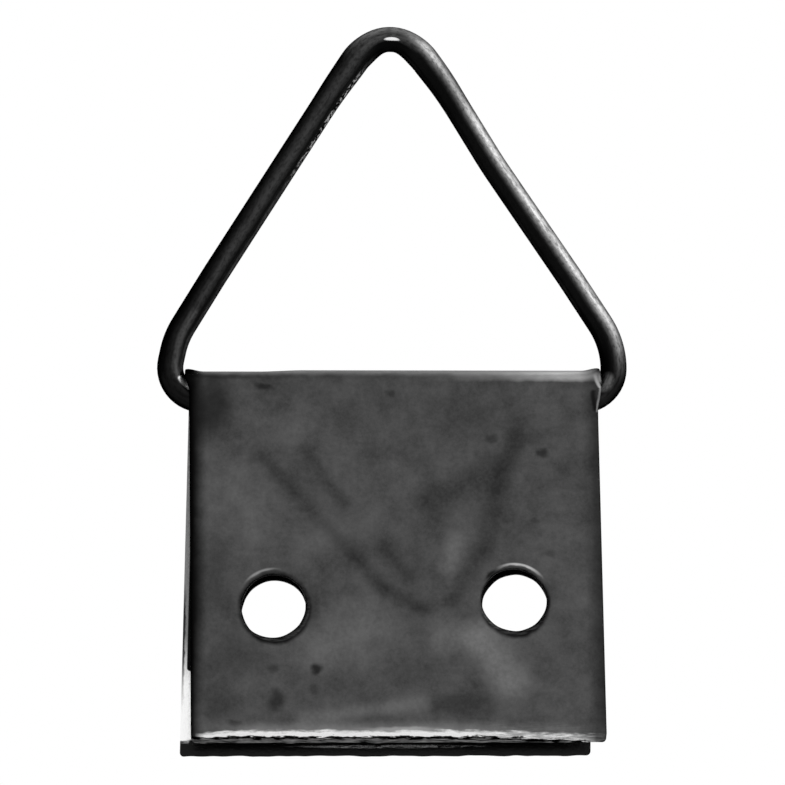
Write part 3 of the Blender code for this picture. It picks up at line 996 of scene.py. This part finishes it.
# Ramps of painted light and shade round the section, one for each stretch.
RAMP = "ShaderNodeValToRGB"
left_leg_shading = add(tree, RAMP, {0: height}, output="Color", stops=(
    (0.0, "#585858"), (0.1, "#222222"), (0.18, "#101010"), (0.37, "#3b3b3b"), (0.47, "#393939"),
    (0.63, "#2e2e2e"), (0.8, "#2c2c2c"), (1.0, "#202020")))
right_leg_shading = add(tree, RAMP, {0: height}, output="Color", stops=(
    (0.0, "#2c2c2c"), (0.08, "#131313"), (0.36, "#131313"), (0.43, "#2b2b2b"), (0.51, "#5a5a5a"),
    (0.59, "#909090"), (0.68, "#d4d4d4"), (0.76, "#aeaeae"), (0.86, "#989898"), (1.0, "#a8a8a8")))
apex_shading = add(tree, RAMP, {0: height}, output="Color", stops=(
    (0.0, "#1c1c1c"), (0.1, "#0b0b0b"), (0.3, "#0b0b0b"), (0.38, "#3a3a3a"), (0.52, "#4a4a4a"),
    (0.62, "#404040"), (0.72, "#646464"), (0.85, "#888888"), (1.0, "#989898")))
to_right = add(tree, RANGE, [stretch, 0.4, 2.0], **SMOOTH)
to_left = add(tree, RANGE, [stretch, -0.6, -2.8], **SMOOTH)
tone = lay_over(tree, apex_shading, [(right_leg_shading, 1.0, to_right), (left_leg_shading, 1.0, to_left)])

# %% [markdown]
# ## Wear along the wire
#
# Places along the wire are above zero on the right leg and below zero on the left leg. Painted shade
# covers the right lower corner, around a painted lighter patch, and a dark blot dims a stretch below
# the apex. Low on the left leg painted shade covers the outer side, beside a painted grey highlight
# along a ridge. The drawing lines and some grit break everything up. Last come the bright places:
# flecks along the inner edge of the left leg, and painted highlights at the apex and at the left lower
# corner.

# %% Wire: wear
SOOT_AND_SHADE, LIGHTER_BLOT, PAINTED_LIGHT_PATCH, RIDGE_HIGHLIGHT, HIGHLIGHT_WHITE = "#0b0b0b", "#b0b0b0", "#626262", "#4c4c4c", "#ffffff"
FLECK_GAP, FLECK = "#161616", "#b4b4b4"
GRIT_PITCH = (1.8, 1.8, 7.0)

spot = add(tree, COMBINE, [stretch, outward])
spot = add(tree, VECTOR, [spot, (1.0, WIRE_RADIUS / MM, 1.0)], operation="MULTIPLY")
# Painted shade on the right lower corner, and low on the left leg's outer side.
corner = add(tree, RANGE, [stretch, 17.2, 21.4], **SMOOTH)
lower = add(tree, RANGE, [stretch, -9.0, -17.0])
spreading = add(tree, RANGE, [stretch, -14.0, -21.6, 0.0, 0.55])
shade = add(tree, MATH, [outward, spreading], operation="ADD")
shade = add(tree, RANGE, [shade, -0.05, 0.35])
lines = add(tree, RANGE, [streaks, 0.5, 0.75])
grit = add(tree, VECTOR, [streaks_place, GRIT_PITCH], operation="MULTIPLY")
grit = add(tree, NOISE, {"Vector": grit, "Scale": 1.0, "Detail": 2.0, "Roughness": 0.6})
gritty = add(tree, RANGE, [grit, 0.45, 0.7])
flecks = add(tree, RANGE, [grit, 0.5, 0.56])
flecks = add(tree, MIX, {0: flecks, 6: linear(FLECK_GAP), 7: linear(FLECK)}, data_type="RGBA")
fringe = add(tree, RANGE, [outward, -0.78, -0.86])
fringe_top = add(tree, RANGE, [stretch, -2.2, -3.2])
fringe_foot = add(tree, RANGE, [stretch, -10.0, -7.0])
on_face = add(tree, RANGE, [front, 0.0, 0.2])
# SOOT_AND_SHADE paints shade and darkens lines and grit; the patch, ridge and white are painted highlights.
tone = lay_over(tree, tone, [
    (LIGHTER_BLOT, 0.6, blot(tree, spot, (17.8, 0.2), (1.8, 0.16))),
    (SOOT_AND_SHADE, 0.97, corner),
    (PAINTED_LIGHT_PATCH, 0.9, blot(tree, spot, (21.5, -0.27), (0.75, 0.55), core=0.5)),
    (SOOT_AND_SHADE, 0.5, blot(tree, spot, (4.0, 0.0), (2.6, 2.0))),
    (SOOT_AND_SHADE, 0.72, shade, lower),
    (RIDGE_HIGHLIGHT, 0.9, stroke(tree, spot, (-17.5, -0.18), (-21.6, -0.3), 0.27)),
    (SOOT_AND_SHADE, 0.6, lines),
    (SOOT_AND_SHADE, 0.55, gritty),
    (flecks, 0.9, fringe, fringe_top, fringe_foot, on_face),
    (HIGHLIGHT_WHITE, 1.0, blot(tree, spot, (0.05, -0.14), (0.5, 0.1), core=0.6), on_face),
    (HIGHLIGHT_WHITE, 1.0, stroke(tree, spot, (-21.3, -0.37), (-22.5, -0.36), 0.19, core=0.3)),
])

# %% [markdown]
# ## The wire's sheen
#
# Drawn wire is smoother than rolled sheet, so it is glossier. The drawing lines vary the gloss, and a
# shallow bump lets them catch the light.

# %% Wire: shader
WIRE_TINT = "#747474"

gloss = add(tree, RANGE, [streaks, 0.0, 1.0, 0.24, 0.4])
drawn = add(tree, "ShaderNodeBump", {"Height": streaks, "Strength": 0.2, "Distance": 0.02 * MM})
set_metal(tree, shader, tone, gloss, drawn, WIRE_TINT)

# %% [markdown]
# ## The floor
#
# The floor is a plain pale sheet well under the hanger. The photograph doesn't show it, and views from
# above look at it.

# %% Floor
FLOOR_DROP = 25 * MM
FLOOR_SIZE = 3.0
FLOOR_PAINT = "#f6f6f6"

reach = FLOOR_SIZE / 2
level = cad_low.z - FLOOR_DROP
floor_corners = [(x, y, level)
                 for x, y in ((-reach, -reach), (reach, -reach), (reach, reach), (-reach, reach))]
floor_mesh = bpy.data.meshes.new("floor")
floor_mesh.from_pydata(floor_corners, [], [(0, 1, 2, 3)])
floor = bpy.data.objects.new("floor", floor_mesh)
bpy.context.scene.collection.objects.link(floor)
floor_paint = bpy.data.materials.new("pale_matt_floor")
tree, shader = shader_of(floor_paint)
shader.inputs["Base Color"].default_value = linear(FLOOR_PAINT)
shader.inputs["Roughness"].default_value = 0.9
floor_mesh.materials.append(floor_paint)

# %% [markdown]
# ## The light
#
# Metal shows what it mirrors, so most of the light is the world itself. It is white ahead of the front
# leaf, and white behind the hanger as the photograph's background. Between them it falls from light on
# the upper right to dark on the lower left, which models the round wire. One soft box at the upper
# right is the key light.

# %% Light
FRONT_LEVEL = 1.0
BACKGROUND_LEVEL = 1.0
DARK_LEVEL = 0.16
LIGHT_LEVEL = 0.95
LIGHT_SIDE = Vector((0.84, 0.0, 0.54))
KEY_SIDE = Vector((0.8, -0.15, 0.6)).normalized()
KEY_DISTANCE = 0.5
KEY_SIZE = 0.4
KEY_POWER = 0.6

world = bpy.data.worlds.new("studio")
bpy.context.scene.world = world
world.use_nodes = True
tree = world.node_tree
background = tree.nodes["Background"]
direction = add(tree, "ShaderNodeTexCoord", output="Generated")
deep = add(tree, SEPARATE, [direction], output="Y")
side = add(tree, VECTOR, [direction, LIGHT_SIDE], output="Value", operation="DOT_PRODUCT")
sides = add(tree, RANGE, [side, -0.4, 0.6, DARK_LEVEL, LIGHT_LEVEL], **SMOOTH)
ahead = add(tree, RANGE, [deep, -0.5, -0.9], **SMOOTH)
behind = add(tree, RANGE, [deep, 0.91, 0.95], **SMOOTH)
glow = add(tree, MIX, {"Factor": ahead, "A": sides, "B": FRONT_LEVEL})
glow = add(tree, MIX, {"Factor": behind, "A": glow, "B": BACKGROUND_LEVEL})
tree.links.new(glow, background.inputs["Strength"])
background.inputs["Color"].default_value = (1, 1, 1, 1)

key_data = bpy.data.lights.new("key", "AREA")
key_data.energy = KEY_POWER
key_data.size = KEY_SIZE
key = bpy.data.objects.new("key", key_data)
key.location = (cad_low + cad_high) / 2 + KEY_SIDE * KEY_DISTANCE
key.rotation_euler = KEY_SIDE.to_track_quat("Z", "Y").to_euler()
bpy.context.scene.collection.objects.link(key)
bpy.context.scene.view_settings.view_transform = "Standard"

# %% [markdown]
# ## Riding the frame
#
# Each piece stands for its solid and moves with that solid's body.

# %% Attach and finish
for piece, node, body, slot in ((plate, "folded_plate", "plate", "plate_steel"),
                                (wire, "triangle_wire", "triangle", "wire_steel")):
    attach(piece, body)
    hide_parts(node)
